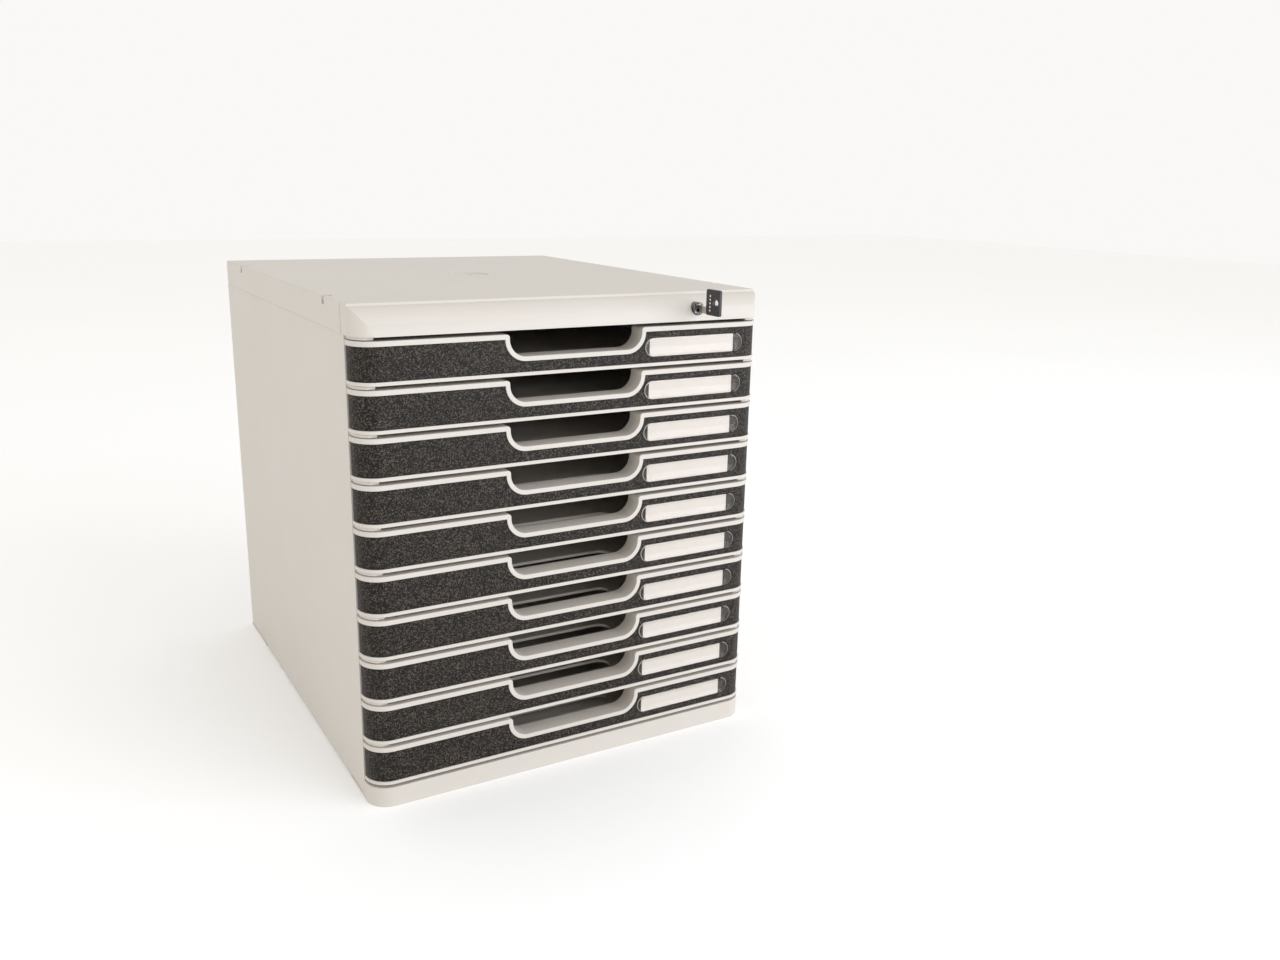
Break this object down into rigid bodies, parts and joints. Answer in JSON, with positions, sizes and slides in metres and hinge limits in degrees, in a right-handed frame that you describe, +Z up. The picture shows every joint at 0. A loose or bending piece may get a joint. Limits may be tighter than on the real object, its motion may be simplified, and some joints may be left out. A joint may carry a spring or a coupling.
{
  "type": "desktop drawer unit",
  "caption": "Desktop drawer unit: shallow drawers with thumb notches and label windows in a moulded case, with a central lock and its key in the lid.",
  "frame": {"origin": "on the floor, in the middle of the case's footprint", "axes": "+X to the right seen from the front, -Y to the front that the drawers open towards, +Z up"},
  "size_m": [0.288, 0.376, 0.3237],
  "materials": {
    "case_plastic": "satin",
    "panel_plastic": "coarse grain",
    "window_plastic": "clear gloss",
    "card_paper": "matte paper",
    "lock_chrome": "polished",
    "lock_steel": "zinc plated",
    "key_steel": "nickel plated",
    "key_plastic": "satin"
  },
  "bodies": {
    "case": {"base": "case_plastic", "side_left": "case_plastic", "side_right": "case_plastic", "back_panel": "case_plastic", "lid": "case_plastic", "lock_barrel": "lock_chrome", "lock_nut": "lock_steel"},
    "drawer_01": {"tray_01": "case_plastic", "front_panel_01": "panel_plastic", "label_window_01": "window_plastic", "label_card_01": "card_paper"},
    "drawer_02": {"tray_02": "case_plastic", "front_panel_02": "panel_plastic", "label_window_02": "window_plastic", "label_card_02": "card_paper"},
    "drawer_03": {"tray_03": "case_plastic", "front_panel_03": "panel_plastic", "label_window_03": "window_plastic", "label_card_03": "card_paper"},
    "drawer_04": {"tray_04": "case_plastic", "front_panel_04": "panel_plastic", "label_window_04": "window_plastic", "label_card_04": "card_paper"},
    "drawer_05": {"tray_05": "case_plastic", "front_panel_05": "panel_plastic", "label_window_05": "window_plastic", "label_card_05": "card_paper"},
    "drawer_06": {"tray_06": "case_plastic", "front_panel_06": "panel_plastic", "label_window_06": "window_plastic", "label_card_06": "card_paper"},
    "drawer_07": {"tray_07": "case_plastic", "front_panel_07": "panel_plastic", "label_window_07": "window_plastic", "label_card_07": "card_paper"},
    "drawer_08": {"tray_08": "case_plastic", "front_panel_08": "panel_plastic", "label_window_08": "window_plastic", "label_card_08": "card_paper"},
    "drawer_09": {"tray_09": "case_plastic", "front_panel_09": "panel_plastic", "label_window_09": "window_plastic", "label_card_09": "card_paper"},
    "drawer_10": {"tray_10": "case_plastic", "front_panel_10": "panel_plastic", "label_window_10": "window_plastic", "label_card_10": "card_paper"},
    "lock": {"lock_plug": "lock_chrome", "lock_cam": "lock_steel", "cam_screw": "lock_steel"},
    "key": {"key_blade": "key_steel", "key_head": "key_plastic"},
    "locking_bar": {"lock_bar": "lock_steel"}
  },
  "joints": [
    {"name": "drawer_01_slide", "type": "slide", "parent": "case", "child": "drawer_01", "axis": [0, -1, 0], "range_m": [0, 0.255]},
    {"name": "drawer_02_slide", "type": "slide", "parent": "case", "child": "drawer_02", "axis": [0, -1, 0], "range_m": [0, 0.255]},
    {"name": "drawer_03_slide", "type": "slide", "parent": "case", "child": "drawer_03", "axis": [0, -1, 0], "range_m": [0, 0.255]},
    {"name": "drawer_04_slide", "type": "slide", "parent": "case", "child": "drawer_04", "axis": [0, -1, 0], "range_m": [0, 0.255]},
    {"name": "drawer_05_slide", "type": "slide", "parent": "case", "child": "drawer_05", "axis": [0, -1, 0], "range_m": [0, 0.255]},
    {"name": "drawer_06_slide", "type": "slide", "parent": "case", "child": "drawer_06", "axis": [0, -1, 0], "range_m": [0, 0.255]},
    {"name": "drawer_07_slide", "type": "slide", "parent": "case", "child": "drawer_07", "axis": [0, -1, 0], "range_m": [0, 0.255]},
    {"name": "drawer_08_slide", "type": "slide", "parent": "case", "child": "drawer_08", "axis": [0, -1, 0], "range_m": [0, 0.255]},
    {"name": "drawer_09_slide", "type": "slide", "parent": "case", "child": "drawer_09", "axis": [0, -1, 0], "range_m": [0, 0.255]},
    {"name": "drawer_10_slide", "type": "slide", "parent": "case", "child": "drawer_10", "axis": [0, -1, 0], "range_m": [0, 0.255]},
    {"name": "lock_turn", "type": "hinge", "parent": "case", "child": "lock", "pos_m": [0.09, -0.16, 0.3096], "axis": [0, -1, 0], "range_deg": [0, 90]},
    {"name": "key_pull", "type": "slide", "parent": "lock", "child": "key", "axis": [0, -1, 0], "range_m": [0, 0.024]},
    {"name": "locking_bar_slide", "type": "slide", "parent": "case", "child": "locking_bar", "axis": [-1, 0, 0], "range_m": [0, 0.0035]}
  ],
  "couplings": [
    {"joint": "lock_turn", "follows": "locking_bar_slide", "rad_per_m": 448.8}
  ]
}
